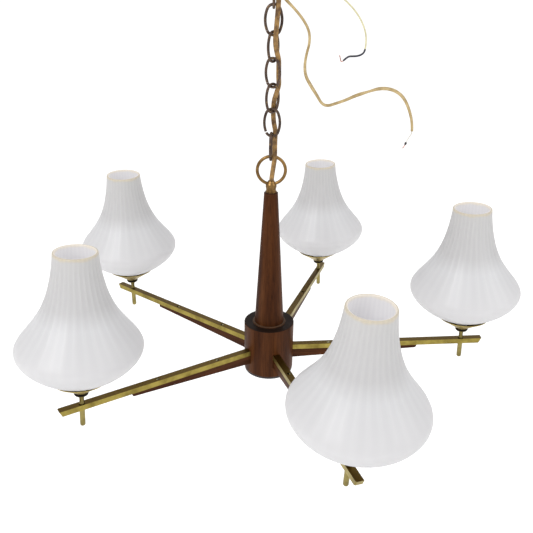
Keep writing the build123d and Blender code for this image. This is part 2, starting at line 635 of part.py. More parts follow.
def dish(arm):
    """Wide spun saucer that follows the glass's underside from the gasket out to a thin lip."""
    lamp = lamp_frame(arm)
    lip_z = glass_underside(DISH_LIP_RADIUS) - DISH_LIP_GAP
    foot_radius = GASKET_RADIUS - 0.6
    middle_radius = (foot_radius + DISH_LIP_RADIUS) / 2
    middle_z = (GASKET_TOP_Z + lip_z - DISH_THICKNESS) / 2 + DISH_BELLY
    outer = [(foot_radius, GASKET_TOP_Z), (middle_radius, middle_z), (DISH_LIP_RADIUS, lip_z - DISH_THICKNESS)]
    inner = [(DISH_LIP_RADIUS, lip_z), (middle_radius, middle_z + 1.25 * DISH_THICKNESS),
             (foot_radius - 0.6, SOCKET_SEAT_Z)]
    bore = STEM_HEAD_RADIUS + SLIP
    with BuildPart() as saucer:
        with BuildSketch(side_plane(lamp)):
            with BuildLine():
                Line((bore, GASKET_TOP_Z), outer[0])
                Spline(*outer)
                Line(outer[-1], inner[0])
                Spline(*inner)
                Polyline(inner[-1], (bore, SOCKET_SEAT_Z), (bore, GASKET_TOP_Z))
            make_face()
        revolve(axis=turning_axis(lamp))
    return saucer.part


def socket(arm):
    """Candelabra lampholder standing on the dish, screwed on the stem's head."""
    lamp = lamp_frame(arm)
    floor_z = SOCKET_SEAT_Z + SOCKET_FLOOR
    with BuildPart() as holder:
        with BuildSketch(raised(lamp, SOCKET_SEAT_Z)):
            Circle(STEM_HEAD_RADIUS + 2.0)
        extrude(amount=SOCKET_FLOOR)
        with BuildSketch(raised(lamp, floor_z)):
            Circle(SOCKET_NECK_RADIUS)
        extrude(amount=SOCKET_NECK_HEIGHT)
        with BuildSketch(raised(lamp, SOCKET_BORE_Z)):
            Circle(SOCKET_RADIUS)
        extrude(amount=SOCKET_TOP_Z - SOCKET_BORE_Z)
        fillet(holder.faces().sort_by(Axis(lamp.origin, lamp.z_dir))[-1].edges(), 0.8)
        with BuildSketch(raised(lamp, SOCKET_BORE_Z)):
            Circle(SOCKET_BORE_RADIUS)
        extrude(amount=SOCKET_TOP_Z - SOCKET_BORE_Z, mode=Mode.SUBTRACT)
        with BuildSketch(raised(lamp, SOCKET_SEAT_Z)):
            Circle(STEM_HEAD_RADIUS + SOLDER_GAP)
        extrude(amount=SOCKET_FLOOR + SOCKET_NECK_HEIGHT, mode=Mode.SUBTRACT)
    return holder.part


def shade_ring(arm):
    """Threaded ring inside the glass that clamps it to the dish."""
    lamp = lamp_frame(arm)
    with BuildPart() as ring:
        with BuildSketch(raised(lamp, SHADE_FLOOR_Z)):
            Circle(SHADE_RING_RADIUS)
            Circle(SOCKET_RADIUS + SLIP, mode=Mode.SUBTRACT)
        extrude(amount=SHADE_RING_HEIGHT)
        fillet(ring.edges().filter_by(GeomType.CIRCLE).sort_by(SortBy.RADIUS)[-2:], 0.8)
    return ring.part


def inner_side(outline, wall):
    """The outline moved inwards by the wall, square to itself at each point."""
    moved = []
    for before, here, after in zip(outline, outline[1:], outline[2:]):
        along = Vector(after[0] - before[0], after[1] - before[1]).normalized()
        moved.append((here[0] - wall * along.Y, here[1] + wall * along.X))
    return moved


def shade(arm, shift):
    """Bell of blown glass with an open neck."""
    lamp = slid(lamp_frame(arm), *shift)
    outer = [(SHADE_FOOT_RADIUS, SHADE_BOTTOM_Z), *SHADE_BELL, (SHADE_RIM_RADIUS, SHADE_RIM_Z)]
    inner = [(SHADE_FOOT_RADIUS - 0.6, SHADE_FLOOR_Z), *inner_side(outer, SHADE_WALL),
             (SHADE_RIM_RADIUS - SHADE_WALL, SHADE_RIM_Z)]
    with BuildPart() as glass:
        with BuildSketch(side_plane(lamp)) as wall:
            with BuildLine():
                Line((SHADE_HOLE_RADIUS, SHADE_BOTTOM_Z), outer[0])
                Spline(*outer)
                Line(outer[-1], inner[-1])
                Spline(*reversed(inner))
                Polyline(inner[0], (SHADE_HOLE_RADIUS, SHADE_FLOOR_Z), (SHADE_HOLE_RADIUS, SHADE_BOTTOM_Z))
            make_face()
            fillet(wall.vertices().group_by(Axis(lamp.origin, lamp.z_dir))[-1], SHADE_RIM_ROUND)
        revolve(axis=turning_axis(lamp))
    return glass.part


def lamp_lead(arm, side):
    """One lead, from the splice along the bar, up through the stem's window into the socket."""
    frame = arm_frame(arm)
    lamp = lamp_frame(arm)
    height = -BAR_WALL - LEAD_RADIUS - 0.35
    in_stem = side * (LEAD_RADIUS + 0.06)
    lamp_side = slid(lamp, 0, in_stem)
    points = [
        slid(frame, SPLICE_RADIUS - 1.5, side * LEAD_OFFSET, height).origin,
        slid(frame, STEM_RADIUS - 14.0, side * LEAD_OFFSET, height).origin,
        slid(frame, STEM_RADIUS - 6.0, in_stem, height).origin,
        raised(lamp_side, height).origin,
        raised(lamp_side, SOCKET_BORE_Z - 1.0).origin,
    ]
    with BuildPart() as lead:
        with BuildLine() as route:
            FilletPolyline(*points, radius=[8.0, 8.0, 1.2])
        with BuildSketch(Plane(origin=route.wire() @ 0, z_dir=route.wire() % 0)):
            Circle(LEAD_RADIUS)
        sweep()
    return lead.part


for number, (arm, shift) in enumerate(zip(ARMS, GLASS_SHIFTS), start=1):
    write(arm_bar(arm), f"arm_bar_{number}")
    write(arm_fin(arm), f"arm_fin_{number}")
    write(dish(arm), f"dish_{number}")
    write(socket(arm), f"socket_{number}")
    write(shade(arm, shift), f"shade_{number}")

write(Compound(children=[lamp_stem(arm) for arm in ARMS]), "lamp_stems")
write(Compound(children=[finial(arm) for arm in ARMS]), "finials")
write(Compound(children=[cone_nut(arm) for arm in ARMS]), "cone_nuts")
write(Compound(children=[gasket(arm) for arm in ARMS]), "gaskets")
write(Compound(children=[shade_ring(arm) for arm in ARMS]), "shade_rings")
write(Compound(children=[fin_screw(arm_frame(arm), along) for arm in ARMS for along in SCREW_RADII]),
      "fin_screws")
write(Compound(children=[lamp_lead(arm, side) for arm in ARMS for side in (-1, 1)]), "lamp_leads")


# ---------------------------------------------------------------- cords
# The twin flex runs up the rod, out of the loop's boss, weaves through the links and turns over the
# hook; its points are x, y and height above the bars.
FLEX_ROUTE = [
    (0, 0, SPLICE_TOP_Z), (0, 0, 226.0), (1.1, -2.0, 236.0), (2.4, -3.7, 246.0), (3.9, -3.9, 257.0),
    (3.7, -1.6, 268.0), (3.9, 1.8, 278.0), (4.2, 4.6, 287.0), (2.0, 6.1, 296.0), (1.2, 7.1, 305.0),
    (1.3, 7.3, 314.0), (2.0, 5.0, 323.0), (4.9, 1.7, 332.0), (7.3, 0.4, 341.0), (6.5, 0.3, 350.0),
    (6.6, 0.3, 359.0), (6.5, 1.0, 368.0), (3.8, 1.1, 377.0), (2.3, -1.1, 386.0), (2.6, -3.5, 395.0),
    (3.4, -4.3, 404.0), (4.1, -4.0, 413.0), (4.8, -3.6, 422.0), (5.1, -3.5, 431.0), (5.1, -4.1, 440.0),
    (5.0, -4.9, 448.0), (5.2, -5.0, 457.0), (5.3, 5.0, 457.0), (5.3, 5.0, 449.0),
]
TAIL_ROUTE = [
    (5.3, 5.0, 449.0), (5.3, 5.0, 441.5), (12.0, 3.0, 431.0), (22.5, 1.5, 421.5), (33.0, 0.5, 410.0),
    (39.8, 0, 398.0), (40.4, 0, 386.0), (37.3, 0, 374.5), (35.6, 0, 362.5), (36.9, 0, 351.0),
    (42.8, 0, 341.0), (50.8, 0, 329.6), (57.0, 0, 319.6), (64.0, 0, 317.6), (72.5, 0, 320.4),
    (83.8, 0, 324.3), (95.7, 0, 330.0), (109.0, 0, 334.2), (121.6, 0, 338.2), (133.9, 0, 337.9),
    (144.4, 0, 333.6), (152.6, 0, 325.5), (159.3, 0, 312.0), (163.3, 0, 298.5), (163.8, 0, 290.2),
]
CORE_ROUTE = [(163.8, 0, 290.2), (164.0, 0, 286.9), (160.1, 0, 281.3), (158.4, 0, 276.8)]
TAPE_ROUTE = [(158.4, 0, 276.8), (157.2, 0, 273.6)]
STRANDS_ROUTE = [(157.2, 0, 273.6), (156.45, 0, 271.6), (154.9, 0, 269.6)]
EARTH_ROUTE = [
    (7.0, -6.0, CEILING_Z - HOOK_COLLAR_THICKNESS), (7.0, -6.0, 479.0), (13.0, -5.5, 468.0),
    (24.0, -3.5, 458.0), (38.0, -1.0, 449.5), (55.0, 0, 443.0), (75.0, 0, 433.0), (92.0, 0, 417.0),
    (101.5, 0, 400.0), (103.2, 0, 386.5), (102.3, 0, 380.6),
]
SLEEVE_ROUTE = [
    (102.3, 0, 380.6), (101.8, 0, 377.3), (98.4, 0, 374.3), (93.6, 0, 372.9), (89.0, 0, 372.7),
    (85.0, 0, 372.6), (81.8, 0, 370.7), (78.6, 0, 367.7),
]
BENT_STRANDS_ROUTE = [
    (78.6, 0, 367.7), (77.4, 0, 366.6), (75.9, 0, 367.3), (75.4, 0, 370.5), (74.2, 0, 373.6),
]
CORE_RADIUS = 0.65
TAPE_RADIUS = 1.5
STRANDS_RADIUS = 0.5
EARTH_RADIUS = 0.9
SLEEVE_RADIUS = 1.05


def arc_radii(points):
    """The largest even arc that each corner's two runs leave room for."""
    radii = []
    for before, here, after in zip(points, points[1:], points[2:]):
        run_in = here - before
        run_out = after - here
        half_turn = math.radians(run_in.get_angle(run_out)) / 2
        radii.append(0.45 * min(run_in.length, run_out.length) / math.tan(half_turn))
    return radii


def cord(name, route, section_width, section_height):
    """A round cord, or a flat one whose width starts along X."""
    points = [Vector(x, y, ceiling_z(z)) for x, y, z in route]
    radii = arc_radii(points)
    with BuildPart() as tube:
        with BuildLine() as path:
            if radii:
                FilletPolyline(*points, radius=radii)
            else:
                Line(*points)
        start = path.wire() % 0
        across = Vector(0, 1, 0).cross(start)
        with BuildSketch(Plane(origin=path.wire() @ 0, x_dir=across, z_dir=start)) as section:
            if section_width > section_height:
                SlotOverall(section_width, section_height)
            else:
                Circle(section_width / 2)
        sweep()
    expected = section.sketch.area * path.wire().length
    print(name, "length", round(path.wire().length, 1), "volume ratio", round(tube.part.volume / expected, 4),
          "radii", [round(radius, 1) for radius in radii])
    write(tube.part, name)


cord("flex_in_chain", FLEX_ROUTE, FLEX_WIDTH, FLEX_THICKNESS)
cord("flex_tail", TAIL_ROUTE, FLEX_WIDTH, FLEX_THICKNESS)
cord("flex_core", CORE_ROUTE, 2 * CORE_RADIUS, 2 * CORE_RADIUS)
cord("tape_wrap", TAPE_ROUTE, 2 * TAPE_RADIUS, 2 * TAPE_RADIUS)
cord("flex_strands", STRANDS_ROUTE, 2 * STRANDS_RADIUS, 2 * STRANDS_RADIUS)
cord("earth_lead", EARTH_ROUTE, 2 * EARTH_RADIUS, 2 * EARTH_RADIUS)
cord("earth_sleeve", SLEEVE_ROUTE, 2 * SLEEVE_RADIUS, 2 * SLEEVE_RADIUS)
cord("earth_strands", BENT_STRANDS_ROUTE, 2 * STRANDS_RADIUS, 2 * STRANDS_RADIUS)
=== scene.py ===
import json
import math

import bpy
import numpy as np
from mathutils import Matrix, Vector


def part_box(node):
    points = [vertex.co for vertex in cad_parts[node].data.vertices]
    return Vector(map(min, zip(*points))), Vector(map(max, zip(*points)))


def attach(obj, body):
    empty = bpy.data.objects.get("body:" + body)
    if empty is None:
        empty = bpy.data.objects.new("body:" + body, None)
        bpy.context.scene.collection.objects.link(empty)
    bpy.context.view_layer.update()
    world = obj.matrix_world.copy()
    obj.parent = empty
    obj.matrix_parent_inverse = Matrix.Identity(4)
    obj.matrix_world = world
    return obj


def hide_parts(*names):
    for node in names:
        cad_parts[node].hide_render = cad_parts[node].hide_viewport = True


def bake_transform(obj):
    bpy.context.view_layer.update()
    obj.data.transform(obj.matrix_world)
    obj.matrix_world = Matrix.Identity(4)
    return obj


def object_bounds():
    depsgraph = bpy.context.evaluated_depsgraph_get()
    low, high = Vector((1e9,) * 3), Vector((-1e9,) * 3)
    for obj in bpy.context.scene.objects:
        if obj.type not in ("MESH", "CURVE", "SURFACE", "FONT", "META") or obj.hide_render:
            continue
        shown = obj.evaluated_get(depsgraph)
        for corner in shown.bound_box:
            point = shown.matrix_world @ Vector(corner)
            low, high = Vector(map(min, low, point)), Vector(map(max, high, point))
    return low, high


# Five-arm chandelier on a link chain, with ribbed frosted glasses. The metal, the wood and the
# lampholders are the frame's own nodes, dressed in new materials. The glasses and the cords are made
# here. Metres, in the frame's own axes.

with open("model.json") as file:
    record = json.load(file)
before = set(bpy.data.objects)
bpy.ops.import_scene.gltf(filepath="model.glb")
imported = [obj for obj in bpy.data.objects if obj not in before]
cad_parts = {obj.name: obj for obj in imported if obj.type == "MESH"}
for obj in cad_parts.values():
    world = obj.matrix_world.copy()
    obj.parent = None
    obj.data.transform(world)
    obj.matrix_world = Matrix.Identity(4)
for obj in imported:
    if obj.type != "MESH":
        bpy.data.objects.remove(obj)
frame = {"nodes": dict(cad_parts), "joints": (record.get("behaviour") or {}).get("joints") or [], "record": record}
cad_low, cad_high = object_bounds()

# ---------------------------------------------------------------- sizes and places
MM = 0.001
HUB_ABOVE_BARS = 35.5 * MM  # the hub's seat ring above the bars' top face
HUB_SEAT_RADIUS = 21.8 * MM  # inside it, the hub's top faces get a painted highlight, a paler brown, in place of the painted shade
BARS_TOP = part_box("hub")[1].z - HUB_ABOVE_BARS
ARM_COUNT = 5

# the glass, in its own frame and in millimetres: radius and height above its foot
GLASS_FOOT = (22.0, 0.0)
GLASS_BELL = [(30.8, 3.9), (38.0, 7.5), (49.0, 14.7), (58.8, 23.0), (66.0, 31.5), (69.3, 40.5),
              (66.3, 49.0), (56.0, 62.5), (46.8, 75.0), (39.2, 88.0), (32.8, 103.0), (28.2, 119.5),
              (25.2, 135.5)]
GLASS_RIM = (23.4, 151.8)
GLASS_WALL = 2.8
FLOOR_INSET = 0.6  # the inner floor's edge, in from the foot's
FLOOR_CORNER = 0.8  # height over which the inner side is left out beside the floor
GLASS_HOLE = 11.9
GLASS_RIM_ROUND = 1.1
RIB_COUNT = 32
RIB_DEPTH = 0.45
RIB_SHARPNESS = 2.5  # higher makes each rib narrower
RIB_STEPS = 8  # mesh steps from one rib to the next
RIBS_FADE = (22.0, 100.0)  # heights between which the ribs grow from nothing to full depth
RIM_PLAIN = (-14.0, -5.0)  # heights from the rim between which the ribs run out
OUTLINE_STEPS = 4  # mesh steps between two outline points
RIM_STEPS = 6  # mesh steps over the rim's round edge

# the glass's look
RIB_PAINTED_SHADE = 0.07  # painted shade: how much darker the glass is coloured between its ribs
GLASS_GLOW = 0.35  # share of the light that the frosted wall passes on
INNER_PAINTED_GLOW = 0.21  # painted glow: emission strength on the glass's inner side, though it is no lamp
# share of the glass's height, and its colour there; the darker colour near the foot is painted shade
GLASS_TONES = [
    (0.0, (0.50, 0.50, 0.50)), (0.14, (0.68, 0.675, 0.68)), (0.28, (0.715, 0.71, 0.715)),
    (0.52, (0.71, 0.71, 0.715)), (0.64, (0.625, 0.62, 0.62)), (0.975, (0.62, 0.615, 0.61)),
    (0.992, (0.66, 0.60, 0.49)),
]

# cords: x, y and height above the bars, in millimetres
FLEX_ROUTE = [
    (0, 0, 9.0), (0, 0, 226.0), (1.1, -2.0, 236.0), (2.4, -3.7, 246.0), (3.9, -3.9, 257.0),
    (3.7, -1.6, 268.0), (3.9, 1.8, 278.0), (4.2, 4.6, 287.0), (2.0, 6.1, 296.0), (1.2, 7.1, 305.0),
    (1.3, 7.3, 314.0), (2.0, 5.0, 323.0), (4.9, 1.7, 332.0), (7.3, 0.4, 341.0), (6.5, 0.3, 350.0),
    (6.6, 0.3, 359.0), (6.5, 1.0, 368.0), (3.8, 1.1, 377.0), (2.3, -1.1, 386.0), (2.6, -3.5, 395.0),
    (3.4, -4.3, 404.0), (4.1, -4.0, 413.0), (4.8, -3.6, 422.0), (5.1, -3.5, 431.0), (5.1, -4.1, 440.0),
    (5.0, -4.9, 448.0), (5.2, -5.0, 457.0), (5.3, 5.0, 457.0), (5.3, 5.0, 449.0),
]
TAIL_ROUTE = [
    (5.3, 5.0, 449.0), (5.3, 5.0, 441.5), (12.0, 3.0, 431.0), (22.5, 1.5, 421.5), (33.0, 0.5, 410.0),
    (39.8, 0, 398.0), (40.4, 0, 386.0), (37.3, 0, 374.5), (35.6, 0, 362.5), (36.9, 0, 351.0),
    (42.8, 0, 341.0), (50.8, 0, 329.6), (57.0, 0, 319.6), (64.0, 0, 317.6), (72.5, 0, 320.4),
    (83.8, 0, 324.3), (95.7, 0, 330.0), (109.0, 0, 334.2), (121.6, 0, 338.2), (133.9, 0, 337.9),
    (144.4, 0, 333.6), (152.6, 0, 325.5), (159.3, 0, 312.0), (163.3, 0, 298.5), (163.8, 0, 290.2),
]
CORE_ROUTE = [(163.8, 0, 290.2), (164.0, 0, 286.9), (160.1, 0, 281.3), (158.4, 0, 276.8)]
TAPE_ROUTE = [(158.4, 0, 276.8), (157.2, 0, 273.6)]
STRANDS_ROUTE = [(157.2, 0, 273.6), (156.45, 0, 271.6), (154.9, 0, 269.6)]
EARTH_ROUTE = [
    (7.0, -6.0, 488.35), (7.0, -6.0, 479.0), (13.0, -5.5, 468.0), (24.0, -3.5, 458.0),
    (38.0, -1.0, 449.5), (55.0, 0, 443.0), (75.0, 0, 433.0), (92.0, 0, 417.0), (101.5, 0, 400.0),
    (103.2, 0, 386.5), (102.3, 0, 380.6),
]
SLEEVE_ROUTE = [
    (102.3, 0, 380.6), (101.8, 0, 377.3), (98.4, 0, 374.3), (93.6, 0, 372.9), (89.0, 0, 372.7),
    (85.0, 0, 372.6), (81.8, 0, 370.7), (78.6, 0, 367.7),
]
BENT_STRANDS_ROUTE = [
    (78.6, 0, 367.7), (77.4, 0, 366.6), (75.9, 0, 367.3), (75.4, 0, 370.5), (74.2, 0, 373.6),
]
FLEX_WIDTH = 5.7
FLEX_THICKNESS = 2.9
FLEX_GROOVE_TURN = 135  # degrees of each half's round side, up to the groove between the two
FLEX_SIDE_POINTS = 13  # mesh points round each half
# share of the tail's length, and the flex's turn there in degrees: near -90 its thin side is in front
TAIL_TWIST = [(0.0, 0), (0.04, -60), (0.1, -84), (0.3, -80), (0.42, -66), (0.5, -84), (0.62, -88),
              (0.69, -74), (0.72, -98), (0.76, -74), (0.9, -68), (1.0, -72)]
CORE_RADIUS = 0.65
TAPE_RADIUS = 1.5
EARTH_RADIUS = 0.9
SLEEVE_RADIUS = 1.05
STRAND_RADIUS = 0.16
STRAND_CIRCLE = 0.33
STRAND_COUNT = 6
STRAND_SIDES = 6
STRAND_SPREAD = (0.8, 1.3)  # the strands' circle at their start and end, as shares of the one above
STRAND_LAY = 1.2  # turn of the strands about each other, in radians
TAPE_SIDES = 16
TAPE_OVAL = 0.06  # how far the tape is from round
# share of the tape's length, and its radius there as a share of the widest
TAPE_SHAPE = [(0.0, 0.55), (0.06, 0.86), (0.2, 0.98), (0.38, 0.92), (0.42, 1.0), (0.62, 0.98), (0.66, 0.88),
              (0.85, 0.9), (0.95, 0.75), (1.0, 0.45)]

# studio, in metres and watts
FLOOR_SIZE = 120.0
FLOOR_DROP = 0.55  # below the lowest point of the frame
# name, place, size and energy of each light
LIGHTS = [("key", (-1.6, -1.9, 1.5), 1.6, 42), ("fill", (2.2, -0.9, 0.9), 1.8, 16)]
LIT_HEIGHT = 0.1  # the lights' aim, above the lowest point of the frame

# camera, in metres and radians, with its lens in millimetres
CAMERA_X = 0.0
CAMERA_Y = -0.7521
CAMERA_ABOVE_BARS = 0.4512
CAMERA_YAW = -0.0058
CAMERA_PITCH = -0.4221
CAMERA_ROLL = 0.0129
CAMERA_LENS = 43.35


# ---------------------------------------------------------------- shader helpers
def new_material(name):
    """A node material with its tree and its Principled shader."""
    material = bpy.data.materials.new(name)
    material.use_nodes = True
    tree = material.node_tree
    return material, tree, tree.nodes["Principled BSDF"]


def add(tree, kind, inputs=(), **settings):
    """A node with its settings; inputs are (name or index, value or socket) pairs."""
    node = tree.nodes.new(kind)
    for key, value in settings.items():
        setattr(node, key, value)
    for key, value in inputs:
        if isinstance(value, bpy.types.NodeSocket):
            tree.links.new(value, node.inputs[key])
        else:
            node.inputs[key].default_value = value
    return node


def place(tree, scale=(1, 1, 1), turn=0.0):
    """Coordinates in the object's own frame, turned about Z and scaled."""
    source = add(tree, "ShaderNodeTexCoord").outputs["Object"]
    turned = add(tree, "ShaderNodeMapping", [("Vector", source), ("Rotation", (0, 0, -turn))])
    return add(tree, "ShaderNodeMapping", [("Vector", turned.outputs[0]), ("Scale", scale)]).outputs[0]


def noise(tree, vector, scale, detail=4.0, roughness=0.55):
    """Cloudy noise, from 0 to 1."""
    inputs = [("Vector", vector), ("Scale", scale), ("Detail", detail), ("Roughness", roughness)]
    return add(tree, "ShaderNodeTexNoise", inputs).outputs["Fac"]


def math_node(tree, operation, *values):
    """The result of one sum; each value is a number or a socket."""
    return add(tree, "ShaderNodeMath", enumerate(values), operation=operation).outputs[0]


def ramp(tree, factor, stops):
    """Colour ramp of (position, colour) stops."""
    node = add(tree, "ShaderNodeValToRGB", [("Fac", factor)])
    elements = node.color_ramp.elements
    while len(elements) < len(stops):
        elements.new(0.5)
    for element, (position, colour) in zip(elements, stops):
        element.position = position
        element.color = (*colour, 1)
    return node.outputs["Color"]


def spread(tree, value, low, high, to_low, to_high):
    """The value mapped from one range to another, and held at its ends."""
    inputs = [("Value", value), ("From Min", low), ("From Max", high),
              ("To Min", to_low), ("To Max", to_high)]
    return add(tree, "ShaderNodeMapRange", inputs).outputs["Result"]


def mix(tree, factor, first, second, blend_type="MIX"):
    """Two colours mixed; each is a socket or three numbers."""
    node = add(tree, "ShaderNodeMix", data_type="RGBA", blend_type=blend_type)
    for key, value in ((0, factor), (6, first), (7, second)):
        if isinstance(value, bpy.types.NodeSocket):
            tree.links.new(value, node.inputs[key])
        elif isinstance(value, tuple):
            node.inputs[key].default_value = (*value, 1)
        else:
            node.inputs[key].default_value = value
    return node.outputs[2]


def bump(tree, shader, height, strength, distance):
    """Small relief from the height; the distance is in metres."""
    node = add(tree, "ShaderNodeBump", [("Height", height), ("Strength", strength), ("Distance", distance)])
    tree.links.new(node.outputs["Normal"], shader.inputs["Normal"])


def facing_up(tree):
    """1 on faces that look up, 0 on upright and lower faces."""
    geometry = add(tree, "ShaderNodeNewGeometry")
    axes = add(tree, "ShaderNodeSeparateXYZ", [(0, geometry.outputs["Normal"])])
    return spread(tree, axes.outputs["Z"], 0.55, 0.92, 0.0, 1.0)


def dress(node, material):
    """The material in place of the node's own."""
    data = frame["nodes"][node].data
    data.materials.clear()
    data.materials.append(material)


# ---------------------------------------------------------------- materials
def walnut(name, grain, turn=0.0, seat_radius=0.0):
    """Oiled walnut with its grain along Z, or along a level arm turned about Z.

    Faces that look up get painted shade, dark, but within the seat's radius of the hub's axis a paler brown, a
    painted highlight.
    """
    material, tree, shader = new_material(name)
    along = (1, 1, 0.05) if grain == "upright" else (0.05, 1, 1)
    where = place(tree, along, turn)
    figure = noise(tree, where, 95.0, 6.0, 0.6)
    pores = noise(tree, where, 900.0, 3.0, 0.7)
    colour = ramp(tree, figure, [(0.30, (0.030, 0.0080, 0.0022)), (0.46, (0.055, 0.0165, 0.0042)),
                                 (0.60, (0.076, 0.0245, 0.0068)), (0.78, (0.105, 0.040, 0.014))])
    streaks = spread(tree, pores, 0.36, 0.52, 0.66, 1.0)
    grey = add(tree, "ShaderNodeCombineColor", [(0, streaks), (1, streaks), (2, streaks)]).outputs[0]
    colour = mix(tree, 1.0, colour, grey, "MULTIPLY")
    # painted shade: faces that look up are coloured dark
    top = (0.012, 0.006, 0.004)
    # painted highlight: a paler brown on top faces within the seat's radius, round the column's foot
    if seat_radius:
        flat = place(tree, (1, 1, 0))
        from_axis = add(tree, "ShaderNodeVectorMath", [(0, flat)], operation="LENGTH").outputs["Value"]
        edge = spread(tree, from_axis, seat_radius, seat_radius + 0.4 * MM, 0.0, 1.0)
        top = mix(tree, edge, (0.075, 0.044, 0.027), top)
    # painted shade and painted highlight laid on the faces that look up
    colour = mix(tree, facing_up(tree), colour, top)
    tree.links.new(colour, shader.inputs["Base Color"])
    tree.links.new(spread(tree, figure, 0.3, 0.7, 0.5, 0.4), shader.inputs["Roughness"])
    shader.inputs["Specular IOR Level"].default_value = 0.07
    bump(tree, shader, pores, 0.25, 0.2 * MM)
    return material


def brass(name, light, dark, top=None, roughness=0.26, turn=0.0, brushed=(1, 1, 1)):
    """Lacquered brass with cloudy tarnish; top, if given, is painted shade: the colour of the faces that look up.
    """
    material, tree, shader = new_material(name)
    where = place(tree, brushed, turn)
    clouds = noise(tree, place(tree), 55.0, 5.0, 0.65)
    scratches = noise(tree, where, 1400.0, 2.0, 0.6)
    colour = ramp(tree, clouds, [(0.34, dark), (0.60, light)])
    # painted shade: faces that look up take the darker top colour
    if top:
        colour = mix(tree, facing_up(tree), colour, top)
    tree.links.new(colour, shader.inputs["Base Color"])
    tree.links.new(spread(tree, clouds, 0.3, 0.7, roughness + 0.12, roughness), shader.inputs["Roughness"])
    shader.inputs["Metallic"].default_value = 1.0
    bump(tree, shader, scratches, 0.12, 0.1 * MM)
    return material


def chain_steel():
    """Dark purple-brown lacquer worn to brass in places."""
    material, tree, shader = new_material("chain_steel")
    where = place(tree)
    clouds = noise(tree, where, 160.0, 5.0, 0.7)
    worn = spread(tree, noise(tree, where, 330.0, 6.0, 0.75), 0.56, 0.66, 0.0, 1.0)
    colour = ramp(tree, clouds, [(0.35, (0.030, 0.017, 0.012)), (0.65, (0.100, 0.060, 0.042))])
    colour = mix(tree, worn, colour, (0.36, 0.23, 0.085))
    tree.links.new(colour, shader.inputs["Base Color"])
    shader.inputs["Metallic"].default_value = 0.55
    tree.links.new(spread(tree, clouds, 0.3, 0.7, 0.5, 0.32), shader.inputs["Roughness"])
    bump(tree, shader, clouds, 0.25, 0.3 * MM)
    return material


def plain_metal(name, colour, metallic=1.0, roughness=0.35):
    """Plated or painted small part with faint mottling."""
    material, tree, shader = new_material(name)
    clouds = noise(tree, place(tree), 220.0, 4.0, 0.6)
    darker = tuple(0.72 * channel for channel in colour)
    tree.links.new(ramp(tree, clouds, [(0.35, darker), (0.65, colour)]), shader.inputs["Base Color"])
    tree.links.new(spread(tree, clouds, 0.3, 0.7, roughness + 0.1, roughness), shader.inputs["Roughness"])
    shader.inputs["Metallic"].default_value = metallic
    bump(tree, shader, clouds, 0.1, 0.2 * MM)
    return material


def soft_plastic(name, light, dark, roughness=0.42, scale=120.0, specular=0.5):
    """Rubber, tape, vinyl and moulded plastic, with slightly uneven colour."""
    material, tree, shader = new_material(name)
    where = place(tree)
    clouds = noise(tree, where, scale, 5.0, 0.65)
    tree.links.new(ramp(tree, clouds, [(0.36, dark), (0.64, light)]), shader.inputs["Base Color"])
    shader.inputs["Roughness"].default_value = roughness
    shader.inputs["Specular IOR Level"].default_value = specular
    bump(tree, shader, noise(tree, where, 8 * scale, 2.0, 0.6), 0.2, 0.1 * MM)
    return material


def glass_colour(tree, source):
    """Greyer at the neck, whiter on the bell, cream at the rim, with painted shade darker at the foot and between
    the ribs.
    """
    axes = add(tree, "ShaderNodeSeparateXYZ", [(0, source)])
    uneven = spread(tree, noise(tree, source, 60.0, 3.0, 0.6), 0.0, 1.0, -3 * MM, 3 * MM)
    height = math_node(tree, "ADD", axes.outputs["Z"], uneven)
    level = spread(tree, height, 0.0, GLASS_RIM[1] * MM, 0.0, 1.0)
    turn = math_node(tree, "ARCTAN2", axes.outputs["Y"], axes.outputs["X"])
    wave = math_node(tree, "COSINE", math_node(tree, "MULTIPLY", turn, RIB_COUNT))
    between = spread(tree, wave, -0.6, 0.7, 1.0, 0.0)
    start, full = (fade / GLASS_RIM[1] for fade in RIBS_FADE)
    # painted shade in the hollows between the ribs
    shade = math_node(tree, "MULTIPLY", between, spread(tree, level, start, full, 0.0, RIB_PAINTED_SHADE))
    return mix(tree, shade, ramp(tree, level, GLASS_TONES), (0.30, 0.29, 0.33))


def painted_inner_glow(tree):
    """Painted glow: emission on the faces that look towards the glass's axis, though the glass is no lamp."""
    flat = place(tree, (1, 1, 0))
    outward = add(tree, "ShaderNodeVectorMath", [(0, flat)], operation="NORMALIZE").outputs[0]
    normal = add(tree, "ShaderNodeTexCoord").outputs["Normal"]
    facing = add(tree, "ShaderNodeVectorMath", [(0, outward), (1, normal)], operation="DOT_PRODUCT")
    strength = spread(tree, facing.outputs["Value"], -0.3, 0.1, INNER_PAINTED_GLOW, 0.0)
    inputs = [("Color", (0.96, 0.94, 1.0, 1)), ("Strength", strength)]
    return add(tree, "ShaderNodeEmission", inputs).outputs[0]


